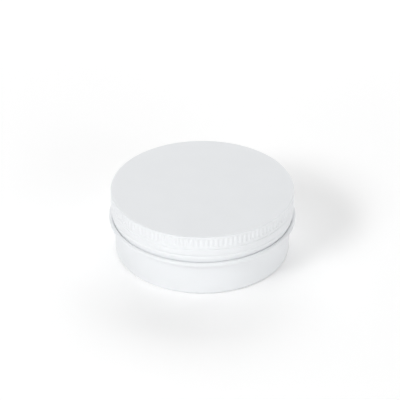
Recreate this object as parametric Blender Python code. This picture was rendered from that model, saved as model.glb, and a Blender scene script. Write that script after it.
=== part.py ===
"""A round aluminium screw tin for matcha, closed: a drawn can, a knurled lid that screws
onto its neck, and the foam liner that lies inside the lid.

Lengths are in metres and +Z is up. The origin is the middle of the can's underside.
"""

import math

import bmesh
import bpy
from mathutils import Vector

# The can's wall, from the table up to the bead that the lid closes down to
WALL_RADIUS = 0.0318
CAN_SHEET = 0.00035
BODY_HEIGHT = 0.0142
FOOT_CORNER = 0.001
FOOT_RING_WIDTH = 0.0026
BASE_STEP_WIDTH = 0.0012
BASE_RECESS = 0.0005
BASE_STEP_FILLET = 0.0004

# The bead that stands out round the can under the lid
BEAD_STAND = 0.0021
BEAD_HEIGHT = 0.0014
BEAD_LOWER_SLOPE = 0.0004
BEAD_ROOT_FILLET = 0.0004

# The neck, and the rim that is curled inwards at its top
NECK_RADIUS = 0.0316
NECK_HEIGHT = 0.00825
RIM_CURL_RADIUS = 0.00055
RIM_CURL_ANGLE = math.radians(270)

# The right-hand thread: its ridge on the neck, and the lid's own ridge that runs under it
THREAD_PITCH = 0.003
THREAD_DEPTH = 0.0007
THREAD_CREST = 0.0005
THREAD_FLANK = 0.0006
THREAD_ABOVE_BEAD = 0.0023
THREAD_TURNS = 1.25
THREAD_FADE_TURNS = 0.07
LID_THREAD_TURNS = 1.0
LID_THREAD_LAG_TURNS = 0.35
THREAD_TIP_CLEARANCE = 0.0002
THREAD_ROOT_CLEARANCE = 0.00025
THREAD_PLAY = 0.00025

# The lid's shell, from its flat top down to the hem at its foot
LID_SHEET = 0.00035
LID_SHOULDER = 0.0005
KNURL_BELOW_SHOULDER = 0.0002
KNURL_HEIGHT = 0.0035
FLUTES = 120
FLUTE_DEPTH = 0.00025
FLUTE_RUNOUT = 0.0003
KNURL_ABOVE_GROOVE = 0.0009
GROOVE_DEPTH = 0.00025
UPPER_GROOVE_HALF = 0.0003
BAND_UPPER_FILLET = 0.0008
LOWER_GROOVE_HALF = 0.0006
BAND_LOWER_FILLET = 0.0015
HEM_HEIGHT = 0.0023
HEM_FILLET = 0.0005
HEM_INNER_FILLET = 0.0002

# The foam liner between the lid and the rim
LINER_THICKNESS = 0.0015
LINER_EDGE = 0.0002
LINER_SIDE_GAP = 0.00035
SEAT_GAP = 0.0003

# How many flat facets go round each shell
CAN_COLUMNS = 60
BORE_COLUMNS = FLUTES // 2
SHARP_ANGLE = math.radians(30)

# What follows from the sizes above
RIM_HEIGHT = BODY_HEIGHT + NECK_HEIGHT
THREAD_RADIUS = NECK_RADIUS + THREAD_DEPTH
THREAD_START = BODY_HEIGHT + THREAD_ABOVE_BEAD
BORE_RADIUS = THREAD_RADIUS + THREAD_TIP_CLEARANCE
LID_THREAD_RADIUS = NECK_RADIUS + THREAD_ROOT_CLEARANCE
LID_RADIUS = BORE_RADIUS + LID_SHEET + max(FLUTE_DEPTH, GROOVE_DEPTH)
LID_FOOT = BODY_HEIGHT + SEAT_GAP
LINER_FOOT = RIM_HEIGHT + SEAT_GAP
LID_CEILING = LINER_FOOT + LINER_THICKNESS + SEAT_GAP - LID_FOOT
LID_HEIGHT = LID_CEILING + LID_SHEET
LINER_RADIUS = BORE_RADIUS - LINER_SIDE_GAP


def rounded(corners):
    """The points of an outline through corners given as (radius, height, fillet, steps)."""
    points = []
    for index, (radius, height, fillet, steps) in enumerate(corners):
        corner = Vector((radius, height))
        if not fillet:
            points.append(corner)
            continue
        back = Vector(corners[index - 1][:2]) - corner
        ahead = Vector(corners[index + 1][:2]) - corner
        half_angle = back.angle(ahead) / 2
        room = min(back.length, ahead.length) / 2
        fillet = min(fillet, room * math.tan(half_angle))
        setback = fillet / math.tan(half_angle)
        back.normalize()
        ahead.normalize()
        centre = corner + (back + ahead).normalized() * (fillet / math.sin(half_angle))
        first = corner + back * setback - centre
        last = corner + ahead * setback - centre
        sweep = first.angle(last)
        for step in range(steps + 1):
            turned = sweep * step / steps
            spoke = first * math.sin(sweep - turned) + last * math.sin(turned)
            points.append(centre + spoke / math.sin(sweep))
    return points


def arc(centre_radius, centre_height, radius, start, end, steps):
    """Points of an arc in the outline's plane, from one angle to another."""
    angles = [start + (end - start) * step / steps for step in range(steps + 1)]
    return [
        Vector((centre_radius + radius * math.cos(angle), centre_height + radius * math.sin(angle)))
        for angle in angles
    ]


def ring(bm, columns, radii, height):
    """A level ring of vertices, whose radii repeat as they go round."""
    vertices = []
    for column in range(columns):
        angle = math.tau * column / columns
        radius = radii[column % len(radii)]
        vertices.append(bm.verts.new((radius * math.cos(angle), radius * math.sin(angle), height)))
    return vertices


def skin(bm, one, other):
    """Faces between two rings, the finer of which may have twice as many vertices."""
    fine, coarse = (one, other) if len(one) >= len(other) else (other, one)
    ratio = len(fine) // len(coarse)
    for column, vertex in enumerate(coarse):
        following = coarse[(column + 1) % len(coarse)]
        first = column * ratio
        edge = [fine[(first + step) % len(fine)] for step in range(ratio + 1)]
        if ratio == 1:
            bm.faces.new((vertex, following, edge[1], edge[0]))
        else:
            bm.faces.new((vertex, edge[1], edge[0]))
            bm.faces.new((vertex, following, edge[1]))
            bm.faces.new((following, edge[2], edge[1]))


def turn(bm, columns, outline, joined=None):
    """Rings for each point of an outline, skinned to one another and to a ring before them."""
    rings = [ring(bm, columns, (point.x,), point.y) for point in outline]
    chain = ([joined] if joined else []) + rings
    for one, other in zip(chain, chain[1:]):
        skin(bm, one, other)
    return rings[0], rings[-1]


def wind_thread(bm, low_ring, high_ring, start, turns, crest_radius, root_radius, half_root):
    """A ridge that winds up a plain wall between two of its rings, and fades at both ends.

    start is the ridge's height at angle 0 before its first turn, and turns says where on that
    helix it begins and ends.
    """
    columns = len(low_ring)
    half_crest = THREAD_CREST / 2
    offsets = (-half_root, -half_crest, half_crest, half_root)
    placed = {}

    def vertex(column, row):
        """The wall's vertex on one row of the helix, or on a plain ring past the ridge's ends."""
        level, part = divmod(row, len(offsets))
        winding = level + column / columns
        here = column % columns
        if winding < turns[0]:
            return low_ring[here]
        if winding > turns[1]:
            return high_ring[here]
        key = (here, level + column // columns, part)
        if key not in placed:
            run = min(winding - turns[0], turns[1] - winding) / THREAD_FADE_TURNS
            run = min(run, 1)
            share = run * run * (3 - 2 * run) if abs(offsets[part]) == half_crest else 0
            radius = root_radius + (crest_radius - root_radius) * share
            angle = math.tau * here / columns
            height = start + THREAD_PITCH * winding + offsets[part]
            placed[key] = bm.verts.new((radius * math.cos(angle), radius * math.sin(angle), height))
        return placed[key]

    first_row = (math.floor(turns[0]) - 2) * len(offsets)
    last_row = (math.ceil(turns[1]) + 1) * len(offsets)
    for column in range(columns):
        for row in range(first_row, last_row):
            corners = (
                vertex(column, row),
                vertex(column + 1, row),
                vertex(column + 1, row + 1),
                vertex(column, row + 1),
            )
            distinct = list(dict.fromkeys(corners))
            if len(distinct) > 2:
                bm.faces.new(distinct)


def material(name, colour, roughness, metallic):
    """A plain Principled finish."""
    finish = bpy.data.materials.new(name)
    finish.use_nodes = True
    shader = finish.node_tree.nodes["Principled BSDF"]
    shader.inputs["Base Color"].default_value = (*colour, 1)
    shader.inputs["Roughness"].default_value = roughness
    shader.inputs["Metallic"].default_value = metallic
    finish.diffuse_color = (*colour, 1)
    return finish


def finished(bm, name, height, finish):
    """The closed mesh as an object that stands on the tin's axis at a height."""
    bmesh.ops.recalc_face_normals(bm, faces=bm.faces)
    mesh = bpy.data.meshes.new(name)
    bm.to_mesh(mesh)
    bm.free()
    mesh.materials.append(finish)
    mesh.shade_smooth()
    mesh.set_sharp_from_angle(angle=SHARP_ANGLE)
    piece = bpy.data.objects.new(name, mesh)
    piece.location.z = height
    bpy.context.collection.objects.link(piece)
    return piece


def bead_outline(radius, neck_radius, inset):
    """Half of the bead: its outer face where inset is zero, or the face inside its sheet."""
    top = BODY_HEIGHT - inset
    foot = BODY_HEIGHT - BEAD_HEIGHT + inset
    tip = WALL_RADIUS + BEAD_STAND - inset
    tip_fillet = BEAD_HEIGHT / 2 - inset
    return [
        (radius, foot - BEAD_LOWER_SLOPE, BEAD_ROOT_FILLET, 2),
        (tip, foot, tip_fillet, 2),
        (tip, top, tip_fillet, 2),
        (neck_radius, top, BEAD_ROOT_FILLET, 1),
    ]


def make_can():
    """The drawn cup: recessed base, plain wall, bead, threaded neck and curled rim."""
    bm = bmesh.new()
    half_root = THREAD_CREST / 2 + THREAD_FLANK
    turns = (0, THREAD_TURNS)
    thread_foot = THREAD_START - 2 * half_root
    thread_head = THREAD_START + THREAD_PITCH * THREAD_TURNS + half_root + THREAD_CREST
    inner_neck = NECK_RADIUS - CAN_SHEET
    inner_wall = WALL_RADIUS - CAN_SHEET

    # Outside, from the middle of the base up to the foot of the thread
    ring_outer = WALL_RADIUS - FOOT_CORNER
    ring_inner = ring_outer - FOOT_RING_WIDTH
    panel = ring_inner - BASE_STEP_WIDTH
    outside = rounded(
        [
            (panel - BASE_STEP_WIDTH, BASE_RECESS, 0, 0),
            (panel, BASE_RECESS, BASE_STEP_FILLET, 1),
            (ring_inner, 0, BASE_STEP_FILLET, 1),
            (WALL_RADIUS, 0, FOOT_CORNER, 4),
            *bead_outline(WALL_RADIUS, NECK_RADIUS, 0),
            (NECK_RADIUS, thread_foot, 0, 0),
        ]
    )
    base_centre, low = turn(bm, CAN_COLUMNS, outside)
    bm.faces.new(base_centre)

    # The rim's sheet is curled inwards and down, and stays open round the eye of its curl
    curl_radius = NECK_RADIUS - RIM_CURL_RADIUS
    curl_height = RIM_HEIGHT - RIM_CURL_RADIUS
    eye = RIM_CURL_RADIUS - CAN_SHEET
    over_the_rim = [
        Vector((NECK_RADIUS, thread_head)),
        *arc(curl_radius, curl_height, RIM_CURL_RADIUS, 0, RIM_CURL_ANGLE, 7),
        *arc(curl_radius, curl_height, eye, RIM_CURL_ANGLE, 0, 5),
        Vector((inner_neck, thread_head)),
    ]
    high, inner_high = turn(bm, CAN_COLUMNS, over_the_rim)

    # Inside, from the thread down to the middle of the floor
    inner_corner = FOOT_CORNER - CAN_SHEET
    inside = rounded(
        [
            (inner_neck, thread_foot, 0, 0),
            *reversed(bead_outline(inner_wall, inner_neck, CAN_SHEET)),
            (inner_wall, CAN_SHEET, inner_corner, 3),
            (ring_inner, CAN_SHEET, BASE_STEP_FILLET, 1),
            (panel, BASE_RECESS + CAN_SHEET, BASE_STEP_FILLET, 1),
            (panel - BASE_STEP_WIDTH, BASE_RECESS + CAN_SHEET, 0, 0),
        ]
    )
    inner_low, floor_centre = turn(bm, CAN_COLUMNS, inside)
    bm.faces.new(floor_centre)

    # The thread is rolled, so the ridge outside leaves a groove of the same run inside
    wind_thread(bm, low, high, THREAD_START, turns, THREAD_RADIUS, NECK_RADIUS, half_root)
    inner_crest = THREAD_RADIUS - CAN_SHEET
    wind_thread(bm, inner_low, inner_high, THREAD_START, turns, inner_crest, inner_neck, half_root)
    return finished(bm, "can", 0, material("can_white_lacquer", (0.84, 0.85, 0.86), 0.42, 0.0))


def flute_band(bm, upper, knurl_top):
    """Upright flutes round the lid, each a crest and a valley that dies out at both ends."""
    knurl_foot = knurl_top - KNURL_HEIGHT
    radii = (LID_RADIUS, LID_RADIUS - FLUTE_DEPTH)
    top = ring(bm, 2 * FLUTES, radii, knurl_top - FLUTE_RUNOUT)
    foot = ring(bm, 2 * FLUTES, radii, knurl_foot + FLUTE_RUNOUT)
    lower = ring(bm, FLUTES, (LID_RADIUS,), knurl_foot)
    for one, other in ((upper, top), (top, foot), (foot, lower)):
        skin(bm, one, other)
    return lower


def make_lid():
    """The lid's shell: flat top, knurled band, two grooves with a band between, and a hem."""
    bm = bmesh.new()
    knurl_top = LID_HEIGHT - LID_SHOULDER - KNURL_BELOW_SHOULDER
    upper_groove = knurl_top - KNURL_HEIGHT - KNURL_ABOVE_GROOVE - UPPER_GROOVE_HALF
    lower_groove = HEM_HEIGHT
    valley = LID_RADIUS - GROOVE_DEPTH

    # Outside, from the flat top over the shoulder to the flutes
    shoulder = rounded(
        [
            (LID_RADIUS - 2 * LID_SHOULDER, LID_HEIGHT, 0, 0),
            (LID_RADIUS, LID_HEIGHT, LID_SHOULDER, 3),
            (LID_RADIUS, knurl_top, 0, 0),
        ]
    )
    top_centre, under_shoulder = turn(bm, FLUTES, shoulder)
    bm.faces.new(top_centre)
    under_flutes = flute_band(bm, under_shoulder, knurl_top)

    # The grooves, the convex band between them, and the hem that is folded in at the foot
    skirt = rounded(
        [
            (LID_RADIUS, upper_groove + UPPER_GROOVE_HALF, 0, 0),
            (valley, upper_groove, 0, 0),
            (LID_RADIUS, upper_groove - UPPER_GROOVE_HALF, BAND_UPPER_FILLET, 2),
            (LID_RADIUS, lower_groove + LOWER_GROOVE_HALF, BAND_LOWER_FILLET, 1),
            (valley, lower_groove, 0, 0),
            (LID_RADIUS, lower_groove - LOWER_GROOVE_HALF, BAND_LOWER_FILLET, 1),
            (LID_RADIUS, 0, HEM_FILLET, 3),
            (BORE_RADIUS, 0, HEM_INNER_FILLET, 1),
            (BORE_RADIUS, HEM_FILLET, 0, 0),
        ]
    )
    hem_edge = turn(bm, FLUTES, skirt, joined=under_flutes)[1]

    # Inside: the thread hangs under the neck's own ridge by half of both ridges and the play
    depth = BORE_RADIUS - LID_THREAD_RADIUS
    slope = THREAD_FLANK / THREAD_DEPTH
    half_root = THREAD_CREST / 2 + slope * depth
    overlap = THREAD_RADIUS - LID_THREAD_RADIUS
    drop = THREAD_CREST + slope * overlap + THREAD_PLAY
    start = THREAD_START - drop - LID_FOOT
    turns = (LID_THREAD_LAG_TURNS, LID_THREAD_LAG_TURNS + LID_THREAD_TURNS)
    thread_foot = start + THREAD_PITCH * turns[0] - half_root - THREAD_CREST / 2
    thread_head = start + THREAD_PITCH * turns[1] + half_root + THREAD_CREST
    bore_low = turn(bm, BORE_COLUMNS, [Vector((BORE_RADIUS, thread_foot))], joined=hem_edge)[1]
    ceiling = rounded(
        [
            (BORE_RADIUS, thread_head, 0, 0),
            (BORE_RADIUS, LID_CEILING, LID_SHOULDER / 2, 2),
            (BORE_RADIUS - LID_SHOULDER, LID_CEILING, 0, 0),
        ]
    )
    bore_high, ceiling_centre = turn(bm, BORE_COLUMNS, ceiling)
    bm.faces.new(ceiling_centre)
    wind_thread(bm, bore_low, bore_high, start, turns, LID_THREAD_RADIUS, BORE_RADIUS, half_root)
    return finished(bm, "lid", LID_FOOT, material("lid_white_lacquer", (0.85, 0.86, 0.87), 0.4, 0.0))


def make_liner():
    """The round foam pad that lies against the lid's ceiling and seals on the rim."""
    bm = bmesh.new()
    outline = [
        Vector((LINER_RADIUS - LINER_EDGE, 0)),
        Vector((LINER_RADIUS, LINER_EDGE)),
        Vector((LINER_RADIUS, LINER_THICKNESS - LINER_EDGE)),
        Vector((LINER_RADIUS - LINER_EDGE, LINER_THICKNESS)),
    ]
    for end in turn(bm, BORE_COLUMNS, outline):
        bm.faces.new(end)
    return finished(bm, "liner", LINER_FOOT, material("liner_foam", (0.8, 0.8, 0.78), 0.9, 0.0))


for leftover in list(bpy.data.objects):
    bpy.data.objects.remove(leftover, do_unlink=True)

make_can()
make_liner()
make_lid()
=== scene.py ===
"""The looks of a round aluminium screw tin for matcha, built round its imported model.

Lengths are in metres and +Z is up. The camera stands on the -Y side and looks down on the tin.
The can and the lid are each one thin sheet, lacquered white outside and clear inside. They are
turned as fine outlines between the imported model's places, and their flutes and threads are formed
in Geometry Nodes. The liner is a pad of white foam that the rim has marked.
"""

import math

import bmesh
import bpy
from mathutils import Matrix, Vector


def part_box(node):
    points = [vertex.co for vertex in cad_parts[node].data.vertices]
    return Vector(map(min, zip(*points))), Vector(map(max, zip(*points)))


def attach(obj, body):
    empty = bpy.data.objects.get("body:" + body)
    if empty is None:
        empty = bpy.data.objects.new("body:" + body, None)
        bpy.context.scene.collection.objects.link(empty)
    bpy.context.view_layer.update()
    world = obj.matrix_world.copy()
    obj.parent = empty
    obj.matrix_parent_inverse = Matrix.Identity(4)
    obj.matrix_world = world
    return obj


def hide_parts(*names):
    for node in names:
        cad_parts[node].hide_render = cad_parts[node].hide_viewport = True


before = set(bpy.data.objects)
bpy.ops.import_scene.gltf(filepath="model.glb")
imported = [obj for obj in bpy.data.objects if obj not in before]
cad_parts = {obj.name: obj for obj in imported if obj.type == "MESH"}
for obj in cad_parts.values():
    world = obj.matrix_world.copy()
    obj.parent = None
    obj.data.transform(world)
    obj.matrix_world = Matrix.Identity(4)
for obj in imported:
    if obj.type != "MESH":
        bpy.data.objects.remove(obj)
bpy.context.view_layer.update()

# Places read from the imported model
LID_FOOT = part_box("lid")[0].z
LID_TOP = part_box("lid")[1].z
LID_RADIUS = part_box("lid")[1].x
LINER_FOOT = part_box("liner")[0].z
LINER_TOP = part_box("liner")[1].z
LINER_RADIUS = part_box("liner")[1].x
BEAD_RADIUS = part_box("can")[1].x

# The thickness of both shells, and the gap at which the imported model's pieces are seated
SHEET = 0.00035
SEAT_GAP = 0.0003

# The can's foot and wall
WALL_RADIUS = 0.0318
FOOT_CORNER = 0.001
FOOT_RING_WIDTH = 0.0026
BASE_STEP_WIDTH = 0.0012
BASE_RECESS = 0.0005
BASE_STEP_FILLET = 0.0004

# The bead under the lid, and the seat inside it that the lid's hem closes down to
SHOULDER_HEIGHT = LID_FOOT - SEAT_GAP
BEAD_HEIGHT = 0.0014
BEAD_CROWN = 0.0003
BEAD_CROWN_INSET = 0.001
BEAD_DOME_DROP = 0.00035
BEAD_SEAT_INSET = 0.0014
BEAD_SEAT_DROP = 0.0003
BEAD_LOWER_SLOPE = 0.0004
BEAD_CREASE_FILLET = 0.0002
BEAD_ROOT_FILLET = 0.0002

# The neck, and the rim that is curled inwards at its top
NECK_RADIUS = 0.0316
RIM_HEIGHT = LINER_FOOT - SEAT_GAP
RIM_CURL_RADIUS = 0.00055
RIM_CURL_ANGLE = math.radians(270)

# The right-hand thread rolled into the neck, and the lid's ridge that runs under it
THREAD_PITCH = 0.003
THREAD_RADIUS = 0.0323
THREAD_CREST = 0.0005
THREAD_FLANK = 0.0006
THREAD_ABOVE_SHOULDER = 0.0023
THREAD_START = SHOULDER_HEIGHT + THREAD_ABOVE_SHOULDER
THREAD_TURNS = 1.25
THREAD_FADE_TURNS = 0.07
LID_THREAD_RADIUS = 0.03185
LID_THREAD_DROP = 0.00114
LID_THREAD_LAG_TURNS = 0.35
LID_THREAD_TURNS = 1.0

# The lid's shoulder and its band of flutes
LID_SHOULDER = 0.0005
KNURL_BELOW_SHOULDER = 0.0002
KNURL_HEIGHT = 0.0035
FLUTES = 120
FLUTE_DEPTH = 0.00025
FLUTE_RUNOUT = 0.0004
FLUTE_SHARPNESS = 1.2

# The lid's two grooves, with the convex band between them
KNURL_ABOVE_GROOVE = 0.0009
GROOVE_DEPTH = 0.0003
UPPER_GROOVE_HALF = 0.00015
UPPER_GROOVE_FILLET = 0.00005
BAND_UPPER_FILLET = 0.0003
LOWER_GROOVE_HALF = 0.0006
LOWER_GROOVE_FILLET = 0.0003
BAND_LOWER_FILLET = 0.0015

# The lid's hem, which tapers inwards and is folded up inside
HEM_HEIGHT = 0.0023
HEM_CREST_FILLET = 0.0008
HEM_TAPER = 0.00055
HEM_REACH = 0.0005
HEM_FILLET = 0.0001
HEM_INNER_FILLET = 0.0001
HEM_FOLD_HEIGHT = 0.0014
HEM_INNER_RADIUS = 0.03235

# The foam liner, and the mark that the rim has pressed into it
LINER_EDGE = 0.0002
RIM_MARK_DEPTH = 0.00012
RIM_MARK_HALF = 0.0007
RIM_MARK_STEPS = 8

# How fine the meshes are
COLUMNS = 240
COLUMNS_PER_FLUTE = 12
ARC_STEP = math.radians(7.5)
THREAD_ROW = 0.00012
FLUTE_ROW = 0.00008
SHARP_ANGLE = math.radians(35)

# The camera, at the photograph's height and distance, with its lens and sensor in millimetres
CAMERA_DISTANCE = 0.6614
CAMERA_ELEVATION = math.radians(32.84)
CAMERA_AIM_HEIGHT = 0.0122
CAMERA_RAISE = 0.00605
CAMERA_LEFT = 0.00086
CAMERA_LENS = 163.4
SENSOR_WIDTH = 36

# Each lamp by its name, azimuth from the camera's side, elevation, distance, size and watts
LAMPS = (
    ("left_softbox", -46, 34, 0.8, (0.25, 0.2), 2.34),
    ("far_left_softbox", -66, 42, 0.8, (0.3, 0.16), 0.82),
    ("front_panel", 25, 8, 0.6, (0.2, 0.14), 0.74),
    ("right_panel", 45, 22, 0.6, (0.2, 0.14), 0.38),
    ("rear_right_panel", 135, 25, 0.8, (0.43, 0.7), 1.4),
    ("rear_panel", 180, 35, 0.8, (0.6, 0.4), 2.34),
)

# The studio's light, and its white where it is seen or mirrored
STUDIO_WHITE = "#FFFFFF"
WORLD_STRENGTH = 0.325
BACKDROP_STRENGTH = 1.0

# The floor, which also glows where it is seen or mirrored, and more so far from the tin
FLOOR_WHITE = "#F9F9F9"
FLOOR_HALF = 3.0
FLOOR_DROP = 0.00001
FLOOR_LIFT = 0.1
FAR_FLOOR_LIFT = 0.7
NEAR_FLOOR_RADIUS = 0.2
FAR_FLOOR_RADIUS = 0.8

# Nearly all values of a noise texture lie between these
NOISE_LOW = 0.3
NOISE_HIGH = 0.7

# The maths node's kind, and the places of the mix node's colour sockets
MATHS = "ShaderNodeMath"
COLOUR_A = 6
COLOUR_B = 7
MIXED_COLOUR = 2


def linear(code):
    """An sRGB hex value as the linear colour that a shader takes."""
    shares = [int(code[place : place + 2], 16) / 255 for place in (1, 3, 5)]
    return (*[s / 12.92 if s <= 0.04045 else ((s + 0.055) / 1.055) ** 2.4 for s in shares], 1)


def add(tree, kind, inputs=None, **settings):
    """Adds a node, with its settings, its plain values and its links.

    An input takes a value, another node's output, or a node, which gives its first output.
    """
    node = tree.nodes.new(kind)
    for name, value in settings.items():
        setattr(node, name, value)
    for socket, value in (inputs or {}).items():
        if isinstance(value, bpy.types.Node):
            value = value.outputs[0]
        if isinstance(value, bpy.types.NodeSocket):
            tree.links.new(value, node.inputs[socket])
        else:
            node.inputs[socket].default_value = value
    return node


# Outlines, each a half section of a piece with its radius across and its height up


def rounded(corners):
    """The points of an outline through corners given as (radius, height, fillet)."""
    points = []
    for index, (radius, height, fillet) in enumerate(corners):
        corner = Vector((radius, height))
        if not fillet:
            points.append(corner)
            continue
        back = Vector(corners[index - 1][:2]) - corner
        ahead = Vector(corners[index + 1][:2]) - corner
        half_angle = back.angle(ahead) / 2
        room = min(back.length, ahead.length) / 2
        fillet = min(fillet, room * math.tan(half_angle))
        setback = fillet / math.tan(half_angle)
        back.normalize()
        ahead.normalize()
        centre = corner + (back + ahead).normalized() * (fillet / math.sin(half_angle))
        first = corner + back * setback - centre
        last = corner + ahead * setback - centre
        sweep = first.angle(last)
        steps = max(2, math.ceil(sweep / ARC_STEP))
        for step in range(steps + 1):
            turned = sweep * step / steps
            spoke = first * math.sin(sweep - turned) + last * math.sin(turned)
            points.append(centre + spoke / math.sin(sweep))
    return points


def arc(centre, radius, start, end):
    """Points of an arc in the outline's plane, from one angle to another."""
    steps = math.ceil(abs(end - start) / ARC_STEP)
    angles = [start + (end - start) * step / steps for step in range(steps + 1)]
    return [centre + radius * Vector((math.cos(angle), math.sin(angle))) for angle in angles]


def rows(radius, start, end, spacing):
    """Evenly spaced points up or down a straight wall."""
    steps = math.ceil(abs(end - start) / spacing)
    return [Vector((radius, start + (end - start) * step / steps)) for step in range(steps + 1)]


def thinned(points):
    """The rows of the flutes' run-outs, without those of the straight stretch between them."""
    low = min(points[0].y, points[-1].y) + FLUTE_RUNOUT
    high = max(points[0].y, points[-1].y) - FLUTE_RUNOUT
    return [point for point in points if not low + FLUTE_ROW < point.y < high - FLUTE_ROW]


def densified(points, spacing):
    """An outline with points added where it runs further than a spacing."""
    dense = [points[0]]
    for point in points[1:]:
        start = dense[-1].copy()
        steps = max(1, math.ceil((point - start).length / spacing))
        dense += [start.lerp(point, step / steps) for step in range(1, steps + 1)]
    return dense


def inner_skin(corners, before, after):
    """The corners a sheet's thickness to the left of an outline that runs between two more points."""
    points = [Vector(before), *[Vector(corner[:2]) for corner in corners], Vector(after)]
    moved = []
    for index, (_, _, fillet) in enumerate(corners):
        corner = points[index + 1]
        way_in = (corner - points[index]).normalized()
        way_out = (points[index + 2] - corner).normalized()
        normal_in = Vector((-way_in.y, way_in.x))
        normal_out = Vector((-way_out.y, way_out.x))
        place = corner + (normal_in + normal_out) * (SHEET / (1 + normal_in.dot(normal_out)))
        turns_inwards = way_in.cross(way_out) > 0
        moved.append((*place, max(fillet - SHEET, 0) if turns_inwards else fillet + SHEET))
    return moved


def bead_outline():
    """The corners of the bead's outer skin, going up from the wall to the neck."""
    top = SHOULDER_HEIGHT + BEAD_CROWN
    seat = SHOULDER_HEIGHT - BEAD_SEAT_DROP
    foot = SHOULDER_HEIGHT - BEAD_HEIGHT
    tip_fillet = (top - BEAD_DOME_DROP - foot) / 2
    return [
        (WALL_RADIUS, foot - BEAD_LOWER_SLOPE, BEAD_CREASE_FILLET),
        (BEAD_RADIUS, foot, tip_fillet),
        (BEAD_RADIUS, top - BEAD_DOME_DROP, tip_fillet),
        (BEAD_RADIUS - BEAD_CROWN_INSET, top, BEAD_CROWN_INSET),
        (BEAD_RADIUS - BEAD_SEAT_INSET, seat, BEAD_ROOT_FILLET),
        (NECK_RADIUS, seat, BEAD_ROOT_FILLET),
    ]


def can_runs():
    """The can's outline, from the middle of its underside round the rim to the middle of its floor."""
    ring_outer = WALL_RADIUS - FOOT_CORNER
    ring_inner = ring_outer - FOOT_RING_WIDTH
    panel = ring_inner - BASE_STEP_WIDTH
    reach = THREAD_CREST / 2 + THREAD_FLANK
    thread_foot = THREAD_START - 2 * reach
    thread_head = THREAD_START + THREAD_PITCH * THREAD_TURNS + reach
    bead = bead_outline()
    inner_bead = inner_skin(bead, (WALL_RADIUS, 0), (NECK_RADIUS, thread_foot))
    outside = rounded(
        [
            (0, BASE_RECESS, 0),
            (panel - BASE_STEP_WIDTH, BASE_RECESS, 0),
            (panel, BASE_RECESS, BASE_STEP_FILLET),
            (ring_inner, 0, BASE_STEP_FILLET),
            (WALL_RADIUS, 0, FOOT_CORNER),
            *bead,
            (NECK_RADIUS, thread_foot, 0),
        ]
    )
    curl_centre = Vector((NECK_RADIUS - RIM_CURL_RADIUS, RIM_HEIGHT - RIM_CURL_RADIUS))
    curl = arc(curl_centre, RIM_CURL_RADIUS, 0, RIM_CURL_ANGLE)
    eye = arc(curl_centre, RIM_CURL_RADIUS - SHEET, RIM_CURL_ANGLE, 0)
    inner_neck = NECK_RADIUS - SHEET
    inner_wall = WALL_RADIUS - SHEET
    inside = rounded(
        [
            (inner_neck, thread_foot, 0),
            *reversed(inner_bead),
            (inner_wall, SHEET, FOOT_CORNER - SHEET),
            (ring_inner, SHEET, BASE_STEP_FILLET),
            (panel, BASE_RECESS + SHEET, BASE_STEP_FILLET),
            (panel - BASE_STEP_WIDTH, BASE_RECESS + SHEET, 0),
            (0, BASE_RECESS + SHEET, 0),
        ]
    )
    return [
        (False, COLUMNS, outside[:-1]),
        (False, COLUMNS, rows(NECK_RADIUS, thread_foot, thread_head, THREAD_ROW)),
        (False, COLUMNS, curl),
        (True, COLUMNS, eye),
        (True, COLUMNS, rows(inner_neck, thread_head, thread_foot, THREAD_ROW)),
        (True, COLUMNS, inside[1:]),
    ]


def knurl_foot():
    """The height at which the flutes have died out above the upper groove."""
    return LID_TOP - LID_SHOULDER - KNURL_BELOW_SHOULDER - KNURL_HEIGHT


def band_outline(inset):
    """The skirt going down from the flutes to the hem: grooves, and the convex band between them."""
    upper_groove = knurl_foot() - KNURL_ABOVE_GROOVE - UPPER_GROOVE_HALF
    lower_groove = LID_FOOT + HEM_HEIGHT
    land = LID_RADIUS - inset
    valley = land - GROOVE_DEPTH
    return [
        (land, upper_groove + 2 * UPPER_GROOVE_HALF, 0),
        (land, upper_groove + UPPER_GROOVE_HALF, UPPER_GROOVE_FILLET),
        (valley, upper_groove, UPPER_GROOVE_FILLET),
        (land, upper_groove - UPPER_GROOVE_HALF, BAND_UPPER_FILLET),
        (land, lower_groove + LOWER_GROOVE_HALF, BAND_LOWER_FILLET),
        (valley, lower_groove, LOWER_GROOVE_FILLET),
    ]


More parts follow.
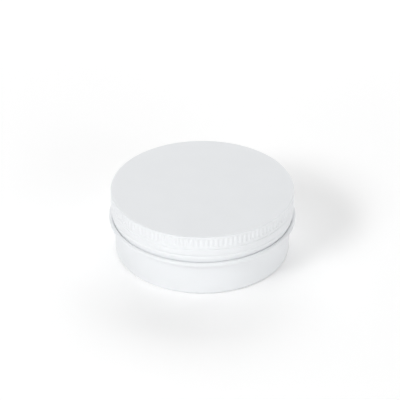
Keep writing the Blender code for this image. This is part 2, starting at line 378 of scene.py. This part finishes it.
def lid_runs():
    """The lid's outline, from the middle of its top round the hem to the middle of its ceiling."""
    knurl_top = knurl_foot() + KNURL_HEIGHT
    ceiling = LID_TOP - SHEET
    inner_land = LID_RADIUS - SHEET
    lower_groove = LID_FOOT + HEM_HEIGHT
    fold_top = LID_FOOT + HEM_FOLD_HEIGHT
    hem_foot = LID_FOOT - HEM_REACH
    top = rounded(
        [
            (0, LID_TOP, 0),
            (LID_RADIUS - 2 * LID_SHOULDER, LID_TOP, 0),
            (LID_RADIUS, LID_TOP, LID_SHOULDER),
            (LID_RADIUS, knurl_top, 0),
        ]
    )
    skirt = rounded(
        [
            *band_outline(0),
            (LID_RADIUS, lower_groove - LOWER_GROOVE_HALF, HEM_CREST_FILLET),
            (LID_RADIUS - HEM_TAPER, hem_foot, HEM_FILLET),
            (HEM_INNER_RADIUS, hem_foot, HEM_INNER_FILLET),
            (HEM_INNER_RADIUS, fold_top, HEM_INNER_FILLET),
            (inner_land, fold_top, 0),
        ]
    )
    inner_skirt = rounded([(inner_land, fold_top, 0), *reversed(band_outline(SHEET))])
    inner_top = rounded(
        [
            (inner_land, knurl_top, 0),
            (inner_land, ceiling, LID_SHOULDER - SHEET),
            (inner_land - 2 * LID_SHOULDER, ceiling, 0),
            (0, ceiling, 0),
        ]
    )
    flutes = rows(LID_RADIUS, knurl_top, knurl_foot(), FLUTE_ROW)
    inner_flutes = rows(inner_land, knurl_foot(), knurl_top, FLUTE_ROW)
    flute_columns = COLUMNS_PER_FLUTE * FLUTES
    return [
        (False, COLUMNS, top[:-1]),
        (False, flute_columns, thinned(flutes)),
        (False, COLUMNS, skirt[:-1]),
        (True, COLUMNS, densified(inner_skirt, THREAD_ROW)),
        (True, flute_columns, thinned(inner_flutes)),
        (True, COLUMNS, inner_top[1:]),
    ]


def liner_runs():
    """The liner's outline, with the shallow ring that the rim has pressed into its underside."""
    mark = NECK_RADIUS - RIM_CURL_RADIUS
    pressed = []
    for step in range(-RIM_MARK_STEPS, RIM_MARK_STEPS + 1):
        share = step / RIM_MARK_STEPS
        depth = RIM_MARK_DEPTH * (1 + math.cos(math.pi * share)) / 2
        pressed.append(Vector((mark + RIM_MARK_HALF * share, LINER_FOOT + depth)))
    edge = rounded(
        [
            (mark + RIM_MARK_HALF, LINER_FOOT, 0),
            (LINER_RADIUS, LINER_FOOT, LINER_EDGE),
            (LINER_RADIUS, LINER_TOP, LINER_EDGE),
            (LINER_RADIUS - 2 * LINER_EDGE, LINER_TOP, 0),
            (0, LINER_TOP, 0),
        ]
    )
    return [(False, COLUMNS, [Vector((0, LINER_FOOT)), *pressed, *edge[1:]])]


# Shells turned from the outlines


def ring(bm, point, columns):
    """A level ring of vertices, or the one vertex where the outline meets the axis."""
    if point.x == 0:
        return [bm.verts.new((0, 0, point.y))]
    angles = [math.tau * column / columns for column in range(columns)]
    return [bm.verts.new((point.x * math.cos(a), point.x * math.sin(a), point.y)) for a in angles]


def skin(bm, one, other):
    """Faces between two rings, the finer of which has a whole multiple of the other's vertices."""
    fine, coarse = (one, other) if len(one) >= len(other) else (other, one)
    ratio = len(fine) // len(coarse)
    for column, vertex in enumerate(coarse):
        following = coarse[(column + 1) % len(coarse)]
        edge = [fine[(column * ratio + step) % len(fine)] for step in range(ratio + 1)]
        if ratio == 1:
            bm.faces.new((vertex, following, edge[1], edge[0]))
            continue
        middle = ratio // 2
        for step in range(ratio):
            bm.faces.new((vertex if step < middle else following, edge[step + 1], edge[step]))
        if vertex != following:
            bm.faces.new((vertex, following, edge[middle]))


def turned_blank(name, runs):
    """A closed shell of revolution whose runs are (is it inside the shell, columns, points).

    The mesh keeps in its attribute called inside which skin each vertex belongs to.
    """
    bm = bmesh.new()
    inside = bm.verts.layers.float.new("inside")
    before = None
    for is_inside, columns, points in runs:
        for point in points:
            here = ring(bm, point, columns)
            for vertex in here:
                vertex[inside] = float(is_inside)
            if before:
                skin(bm, before, here)
            before = here
    bmesh.ops.recalc_face_normals(bm, faces=bm.faces)
    mesh = bpy.data.meshes.new(name)
    bm.to_mesh(mesh)
    bm.free()
    blank = bpy.data.objects.new(name, mesh)
    bpy.context.scene.collection.objects.link(blank)
    return blank


# Geometry Nodes that form the shells


def new_tree(name, sizes):
    """A Geometry Nodes tree with named inputs for its sizes and for the finishes of both skins."""
    tree = bpy.data.node_groups.new(name, "GeometryNodeTree")
    tree.interface.new_socket("Geometry", in_out="INPUT", socket_type="NodeSocketGeometry")
    for label in sizes:
        tree.interface.new_socket(label, in_out="INPUT", socket_type="NodeSocketFloat")
    for label in ("Outside finish", "Inside finish"):
        tree.interface.new_socket(label, in_out="INPUT", socket_type="NodeSocketMaterial")
    tree.interface.new_socket("Geometry", in_out="OUTPUT", socket_type="NodeSocketGeometry")
    return tree


def shell_fields(tree):
    """Each vertex's height, distance from the axis, turn from 0 to 1, way outwards, and skin.

    The skin is one inside the shell and zero outside it.
    """
    place = add(tree, "ShaderNodeSeparateXYZ", {0: add(tree, "GeometryNodeInputPosition")})
    x, y, height = place.outputs
    level = add(tree, "ShaderNodeCombineXYZ", {0: x, 1: y})
    radius = add(tree, "ShaderNodeVectorMath", {0: level}, operation="LENGTH").outputs["Value"]
    outwards = add(tree, "ShaderNodeVectorMath", {0: level}, operation="NORMALIZE")
    angle = add(tree, MATHS, {0: y, 1: x}, operation="ARCTAN2")
    turns = add(tree, MATHS, {0: angle, 1: math.tau}, operation="DIVIDE")
    turn = add(tree, MATHS, {0: turns}, operation="FRACT")
    inside = add(tree, "GeometryNodeInputNamedAttribute", {"Name": "inside"}, data_type="FLOAT")
    return height, radius, turn, outwards, inside


def close_tree(tree, outwards, distance, inside):
    """Moves the vertices outwards, and ends the tree with real geometry and each skin's finish."""
    given = add(tree, "NodeGroupInput").outputs
    offset = add(tree, "ShaderNodeVectorMath", {0: outwards, "Scale": distance}, operation="SCALE")
    moved = add(tree, "GeometryNodeSetPosition", {"Geometry": given["Geometry"], "Offset": offset})
    real = add(tree, "GeometryNodeRealizeInstances", {0: moved})
    outer = add(tree, "GeometryNodeSetMaterial", {0: real, "Material": given["Outside finish"]})
    is_inside = add(tree, MATHS, {0: inside, 1: 0.5}, operation="GREATER_THAN")
    inner = {0: outer, "Selection": is_inside, "Material": given["Inside finish"]}
    both = add(tree, "GeometryNodeSetMaterial", inner)
    add(tree, "NodeGroupOutput", {0: both})


def fluted_tree():
    """Presses upright flutes through both skins of a band, which fade out at its foot and top."""
    tree = new_tree("pressed_flutes", ("Flutes", "Depth", "Foot", "Top", "Run-out", "Sharpness"))
    given = add(tree, "NodeGroupInput").outputs
    height, _, turn, outwards, inside = shell_fields(tree)

    # A flute's section, which is one in the valley and zero on the crests
    flute = add(tree, MATHS, {0: turn, 1: given["Flutes"]}, operation="MULTIPLY")
    phase = add(tree, MATHS, {0: flute, 1: math.tau}, operation="MULTIPLY")
    cosine = add(tree, MATHS, {0: phase}, operation="COSINE")
    wave = add(tree, MATHS, {0: cosine, 1: -0.5, 2: 0.5}, operation="MULTIPLY_ADD")
    valley = add(tree, MATHS, {0: wave, 1: given["Sharpness"]}, operation="POWER")

    # The share of its depth that a flute has at each height
    from_foot = add(tree, MATHS, {0: height, 1: given["Foot"]}, operation="SUBTRACT")
    from_top = add(tree, MATHS, {0: given["Top"], 1: height}, operation="SUBTRACT")
    from_end = add(tree, MATHS, {0: from_foot, 1: from_top}, operation="MINIMUM")
    run = add(tree, MATHS, {0: from_end, 1: given["Run-out"]}, operation="DIVIDE")
    window = add(tree, "ShaderNodeMapRange", {0: run}, interpolation_type="SMOOTHSTEP")

    share = add(tree, MATHS, {0: valley, 1: window}, operation="MULTIPLY")
    depth = add(tree, MATHS, {0: share, 1: given["Depth"]}, operation="MULTIPLY")
    distance = add(tree, MATHS, {0: depth, 1: -1.0}, operation="MULTIPLY")
    close_tree(tree, outwards, distance, inside)
    return tree


def thread_tree():
    """Rolls a helical ridge into a wall, out to a crest radius, and gives both skins their finish."""
    course = ("Pitch", "Start", "First turn", "Last turn", "Fade turns")
    section = ("Crest", "Flank", "Crest radius", "Sheet", "Outside share")
    tree = new_tree("rolled_thread", course + section)
    given = add(tree, "NodeGroupInput").outputs
    height, radius, turn, outwards, inside = shell_fields(tree)

    # The nearest winding of the helix, counted in turns from its start, and how far away it is
    above_start = add(tree, MATHS, {0: height, 1: given["Start"]}, operation="SUBTRACT")
    climbed = add(tree, MATHS, {0: above_start, 1: given["Pitch"]}, operation="DIVIDE")
    past_turn = add(tree, MATHS, {0: climbed, 1: turn}, operation="SUBTRACT")
    whole_turns = add(tree, MATHS, {0: past_turn}, operation="ROUND")
    winding = add(tree, MATHS, {0: whole_turns, 1: turn}, operation="ADD")
    turns_away = add(tree, MATHS, {0: climbed, 1: winding}, operation="SUBTRACT")
    rise_away = add(tree, MATHS, {0: turns_away, 1: given["Pitch"]}, operation="MULTIPLY")
    away = add(tree, MATHS, {0: rise_away}, operation="ABSOLUTE")

    # The ridge's section: a flat crest, and a smooth flank on each side
    half_crest = add(tree, MATHS, {0: given["Crest"], 1: 0.5}, operation="MULTIPLY")
    half_root = add(tree, MATHS, {0: half_crest, 1: given["Flank"]}, operation="ADD")
    flank = {"Value": away, "From Min": half_crest, "From Max": half_root}
    fall = add(tree, "ShaderNodeMapRange", flank, interpolation_type="SMOOTHSTEP")
    profile = add(tree, MATHS, {0: 1.0, 1: fall}, operation="SUBTRACT")

    # It fades in and out at its ends, and may leave the outer skin plain
    begun = add(tree, MATHS, {0: winding, 1: given["First turn"]}, operation="SUBTRACT")
    left = add(tree, MATHS, {0: given["Last turn"], 1: winding}, operation="SUBTRACT")
    from_end = add(tree, MATHS, {0: begun, 1: left}, operation="MINIMUM")
    end = {"Value": from_end, "From Max": given["Fade turns"]}
    fade = add(tree, "ShaderNodeMapRange", end, interpolation_type="SMOOTHSTEP")
    taking_part = add(tree, MATHS, {0: inside, 1: given["Outside share"]}, operation="MAXIMUM")
    faded = add(tree, MATHS, {0: profile, 1: fade}, operation="MULTIPLY")
    share = add(tree, MATHS, {0: faded, 1: taking_part}, operation="MULTIPLY")

    # The inner skin's crest lies a sheet's thickness further in
    thickness = add(tree, MATHS, {0: inside, 1: given["Sheet"]}, operation="MULTIPLY")
    crest = add(tree, MATHS, {0: given["Crest radius"], 1: thickness}, operation="SUBTRACT")
    full_rise = add(tree, MATHS, {0: crest, 1: radius}, operation="SUBTRACT")
    distance = add(tree, MATHS, {0: full_rise, 1: share}, operation="MULTIPLY")
    close_tree(tree, outwards, distance, inside)
    return tree


def form(blank, tree, values):
    """Puts a tree on a blank as a modifier, with its inputs set by their identifiers."""
    modifier = blank.modifiers.new(tree.name, "NODES")
    modifier.node_group = tree
    for item in tree.interface.items_tree:
        if item.in_out == "INPUT" and item.name in values:
            modifier[item.identifier] = values[item.name]


def plain_mesh(blank, name):
    """The formed blank as a plain mesh object, smooth but for its sharp folds."""
    evaluated = blank.evaluated_get(bpy.context.evaluated_depsgraph_get())
    mesh = bpy.data.meshes.new_from_object(evaluated)
    bpy.data.objects.remove(blank)
    mesh.name = name
    mesh.shade_smooth()
    mesh.set_sharp_from_angle(angle=SHARP_ANGLE)
    piece = bpy.data.objects.new(name, mesh)
    bpy.context.scene.collection.objects.link(piece)
    return piece


# Finishes


def new_finish(name):
    """A new material, with its tree, its shader and the object's own coordinates."""
    finish = bpy.data.materials.new(name)
    finish.use_nodes = True
    tree = finish.node_tree
    place = add(tree, "ShaderNodeTexCoord").outputs["Object"]
    return finish, tree, tree.nodes["Principled BSDF"], place


def white_lacquer(name):
    """Roller-coated white polyester lacquer on aluminium.

    It is satin, with a faint orange peel that breaks up its highlights, rub marks that change its
    gloss a little, and clouds in its white that hardly show.
    """
    finish, tree, shader, place = new_finish(name)
    peel_spacing = 0.0016
    cloud_spacing = 0.011
    rub_spacing = 0.004
    peel_depth = 0.00002
    peel = add(tree, "ShaderNodeTexNoise", {"Vector": place, "Scale": 1 / peel_spacing, "Detail": 1.5})
    cloud = add(tree, "ShaderNodeTexNoise", {"Vector": place, "Scale": 1 / cloud_spacing, "Detail": 2.0})
    rub = add(tree, "ShaderNodeTexNoise", {"Vector": place, "Scale": 1 / rub_spacing, "Detail": 3.0})
    tones = {0: cloud, COLOUR_A: linear("#E6E8EA"), COLOUR_B: linear("#EAECEE")}
    tone = add(tree, "ShaderNodeMix", tones, data_type="RGBA")
    spread = {"From Min": NOISE_LOW, "From Max": NOISE_HIGH, "To Min": 0.4, "To Max": 0.46}
    gloss = add(tree, "ShaderNodeMapRange", {"Value": rub, **spread})
    bump = add(tree, "ShaderNodeBump", {"Strength": 0.25, "Distance": peel_depth, "Height": peel})
    tree.links.new(tone.outputs[MIXED_COLOUR], shader.inputs["Base Color"])
    tree.links.new(gloss.outputs[0], shader.inputs["Roughness"])
    tree.links.new(bump.outputs[0], shader.inputs["Normal"])
    shader.inputs["Metallic"].default_value = 0.0
    shader.inputs["IOR"].default_value = 1.5
    return finish


def clear_lacquered_aluminium(name):
    """Drawn aluminium under a clear food lacquer: satin metal with fine streaks up its wall."""
    finish, tree, shader, place = new_finish(name)
    streak_width = 0.0004
    streak_length = 0.006
    streak_depth = 0.00002

    # The streaks' own coordinates: round the wall, up it, and across the floor
    x, y, z = add(tree, "ShaderNodeSeparateXYZ", {0: place}).outputs
    angle = add(tree, MATHS, {0: y, 1: x}, operation="ARCTAN2")
    level = add(tree, "ShaderNodeCombineXYZ", {0: x, 1: y})
    radius = add(tree, "ShaderNodeVectorMath", {0: level}, operation="LENGTH").outputs["Value"]
    around = add(tree, MATHS, {0: angle, 1: WALL_RADIUS / streak_width}, operation="MULTIPLY")
    along = add(tree, MATHS, {0: z, 1: 1 / streak_length}, operation="MULTIPLY")
    across = add(tree, MATHS, {0: radius, 1: 1 / streak_width}, operation="MULTIPLY")
    grain = add(tree, "ShaderNodeCombineXYZ", {0: around, 1: along, 2: across})

    streaks = add(tree, "ShaderNodeTexNoise", {"Vector": grain, "Scale": 1.0, "Detail": 2.0})
    tones = {0: streaks, COLOUR_A: linear("#EBECED"), COLOUR_B: linear("#F5F6F6")}
    tone = add(tree, "ShaderNodeMix", tones, data_type="RGBA")
    spread = {"From Min": NOISE_LOW, "From Max": NOISE_HIGH, "To Min": 0.28, "To Max": 0.38}
    gloss = add(tree, "ShaderNodeMapRange", {"Value": streaks, **spread})
    bump = add(tree, "ShaderNodeBump", {"Strength": 0.2, "Distance": streak_depth, "Height": streaks})
    tree.links.new(tone.outputs[MIXED_COLOUR], shader.inputs["Base Color"])
    tree.links.new(gloss.outputs[0], shader.inputs["Roughness"])
    tree.links.new(bump.outputs[0], shader.inputs["Normal"])
    shader.inputs["Metallic"].default_value = 1.0
    return finish


def polyethylene_foam(name):
    """Extruded polyethylene foam: white and dull, with closed cells that dimple its skin, and painted
    shade in the grooves between the cells.
    """
    finish, tree, shader, place = new_finish(name)
    cell_size = 0.0008
    dimple_depth = 0.0001
    cell = {"Vector": place, "Scale": 1 / cell_size}
    away = add(tree, "ShaderNodeTexVoronoi", cell, feature="SMOOTH_F1").outputs["Distance"]
    # Painted shade: the white turns greyer towards the cells' edges, where the bump below sinks the skin
    # into grooves.
    tones = {0: away, COLOUR_A: linear("#F0F0EE"), COLOUR_B: linear("#E2E3E1")}
    tone = add(tree, "ShaderNodeMix", tones, data_type="RGBA")
    dimples = {"Strength": 0.5, "Distance": dimple_depth, "Height": away}
    bump = add(tree, "ShaderNodeBump", dimples, invert=True)
    tree.links.new(tone.outputs[MIXED_COLOUR], shader.inputs["Base Color"])
    tree.links.new(bump.outputs[0], shader.inputs["Normal"])
    shader.inputs["Roughness"].default_value = 0.7
    shader.inputs["IOR"].default_value = 1.5
    return finish


# The pieces


def make_can(lacquer, metal):
    """The drawn can, whose neck has its thread rolled through the sheet."""
    blank = turned_blank("can_blank", can_runs())
    form(
        blank,
        thread_tree(),
        {
            "Pitch": THREAD_PITCH,
            "Start": THREAD_START,
            "First turn": 0.0,
            "Last turn": THREAD_TURNS,
            "Fade turns": THREAD_FADE_TURNS,
            "Crest": THREAD_CREST,
            "Flank": THREAD_FLANK,
            "Crest radius": THREAD_RADIUS,
            "Sheet": SHEET,
            "Outside share": 1.0,
            "Outside finish": lacquer,
            "Inside finish": metal,
        },
    )
    piece = plain_mesh(blank, "drawn_can")
    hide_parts("can")
    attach(piece, "can")


def make_lid(lacquer, metal):
    """The lid, with flutes pressed through its sheet and a ridge of thread inside."""
    blank = turned_blank("lid_blank", lid_runs())
    form(
        blank,
        fluted_tree(),
        {
            "Flutes": float(FLUTES),
            "Depth": FLUTE_DEPTH,
            "Foot": knurl_foot(),
            "Top": knurl_foot() + KNURL_HEIGHT,
            "Run-out": FLUTE_RUNOUT,
            "Sharpness": FLUTE_SHARPNESS,
            "Outside finish": lacquer,
            "Inside finish": metal,
        },
    )
    form(
        blank,
        thread_tree(),
        {
            "Pitch": THREAD_PITCH,
            "Start": THREAD_START - LID_THREAD_DROP,
            "First turn": LID_THREAD_LAG_TURNS,
            "Last turn": LID_THREAD_LAG_TURNS + LID_THREAD_TURNS,
            "Fade turns": THREAD_FADE_TURNS,
            "Crest": THREAD_CREST,
            "Flank": THREAD_FLANK,
            "Crest radius": LID_THREAD_RADIUS,
            "Sheet": 0.0,
            "Outside share": 0.0,
            "Outside finish": lacquer,
            "Inside finish": metal,
        },
    )
    piece = plain_mesh(blank, "knurled_lid")
    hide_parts("lid")
    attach(piece, "lid")


def make_liner(foam):
    """The foam liner, which lies in the lid."""
    blank = turned_blank("liner_blank", liner_runs())
    blank.data.materials.append(foam)
    piece = plain_mesh(blank, "foam_liner")
    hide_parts("liner")
    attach(piece, "liner")


# The studio


def set_camera():
    """The camera, at the photograph's angle and distance."""
    tilt = CAMERA_ELEVATION
    back = Vector((0, -math.cos(tilt), math.sin(tilt)))
    upwards = Vector((0, math.sin(tilt), math.cos(tilt)))
    middle = Vector((0, 0, CAMERA_AIM_HEIGHT))
    data = bpy.data.cameras.new("camera")
    data.sensor_width = SENSOR_WIDTH
    data.lens = CAMERA_LENS
    camera = bpy.data.objects.new("camera", data)
    camera.location = middle + back * CAMERA_DISTANCE
    looked_at = middle + upwards * CAMERA_RAISE - Vector((CAMERA_LEFT, 0, 0))
    camera.rotation_euler = (looked_at - camera.location).to_track_quat("-Z", "Y").to_euler()
    bpy.context.scene.collection.objects.link(camera)
    bpy.context.scene.camera = camera


def seen_rays(tree):
    """One where a ray comes from the camera, a mirroring surface or a clear one."""
    rays = add(tree, "ShaderNodeLightPath").outputs
    bent = {0: rays["Is Glossy Ray"], 1: rays["Is Transmission Ray"]}
    mirrored = add(tree, MATHS, bent, operation="MAXIMUM")
    return add(tree, MATHS, {0: rays["Is Camera Ray"], 1: mirrored}, operation="MAXIMUM")


def set_world():
    """A plain white studio: soft from all round, and white where it is seen or mirrored."""
    world = bpy.data.worlds.new("white_studio")
    world.use_nodes = True
    bpy.context.scene.world = world
    tree = world.node_tree
    tree.nodes.clear()
    lighting = add(tree, "ShaderNodeBackground", {0: linear(STUDIO_WHITE), 1: WORLD_STRENGTH})
    backdrop = add(tree, "ShaderNodeBackground", {0: linear(STUDIO_WHITE), 1: BACKDROP_STRENGTH})
    both = add(tree, "ShaderNodeMixShader", {0: seen_rays(tree), 1: lighting, 2: backdrop})
    add(tree, "ShaderNodeOutputWorld", {0: both})


def lay_floor():
    """The white table top, which shows the tin's soft shadow and stays white where no lamp reaches."""
    mesh = bpy.data.meshes.new("floor")
    sides = ((-1, -1), (1, -1), (1, 1), (-1, 1))
    corners = [(x * FLOOR_HALF, y * FLOOR_HALF, -FLOOR_DROP) for x, y in sides]
    mesh.from_pydata(corners, [], [(0, 1, 2, 3)])
    floor = bpy.data.objects.new("floor", mesh)
    bpy.context.scene.collection.objects.link(floor)
    finish = bpy.data.materials.new("matt_white_paper")
    finish.use_nodes = True
    tree = finish.node_tree
    tree.nodes.clear()
    paper = add(tree, "ShaderNodeBsdfDiffuse", {0: linear(FLOOR_WHITE)})
    place = add(tree, "ShaderNodeTexCoord").outputs["Object"]
    away = add(tree, "ShaderNodeVectorMath", {0: place}, operation="LENGTH").outputs["Value"]
    reach = {"Value": away, "From Min": NEAR_FLOOR_RADIUS, "From Max": FAR_FLOOR_RADIUS}
    lifts = {"To Min": FLOOR_LIFT, "To Max": FAR_FLOOR_LIFT}
    strength = add(tree, "ShaderNodeMapRange", {**reach, **lifts})
    lift = add(tree, MATHS, {0: seen_rays(tree), 1: strength}, operation="MULTIPLY")
    glow = add(tree, "ShaderNodeEmission", {0: linear(STUDIO_WHITE), 1: lift})
    both = add(tree, "ShaderNodeAddShader", {0: paper, 1: glow})
    add(tree, "ShaderNodeOutputMaterial", {0: both})
    mesh.materials.append(finish)


def hang_lamp(name, azimuth, elevation, distance, size, watts):
    """A soft box that faces the tin. Azimuth is counted from the camera's side, positive to the right.

    The tin mirrors the white studio and not the lamps, which would bleach its flat top from some sides.
    """
    data = bpy.data.lights.new(name, "AREA")
    data.shape = "RECTANGLE"
    data.size, data.size_y = size
    data.energy = watts
    lamp = bpy.data.objects.new(name, data)
    turn, tilt = math.radians(azimuth), math.radians(elevation)
    level = math.cos(tilt)
    place = Vector((math.sin(turn) * level, -math.cos(turn) * level, math.sin(tilt))) * distance
    lamp.location = place
    lamp.rotation_euler = (-place).to_track_quat("-Z", "Y").to_euler()
    lamp.visible_camera = False
    lamp.visible_glossy = False
    bpy.context.scene.collection.objects.link(lamp)


bpy.context.scene.view_settings.view_transform = "Standard"
set_camera()
set_world()
lay_floor()
for lamp in LAMPS:
    hang_lamp(*lamp)

white = white_lacquer("white_polyester_lacquer")
bare = clear_lacquered_aluminium("clear_lacquered_aluminium")
make_can(white, bare)
make_lid(white, bare)
make_liner(polyethylene_foam("polyethylene_foam"))
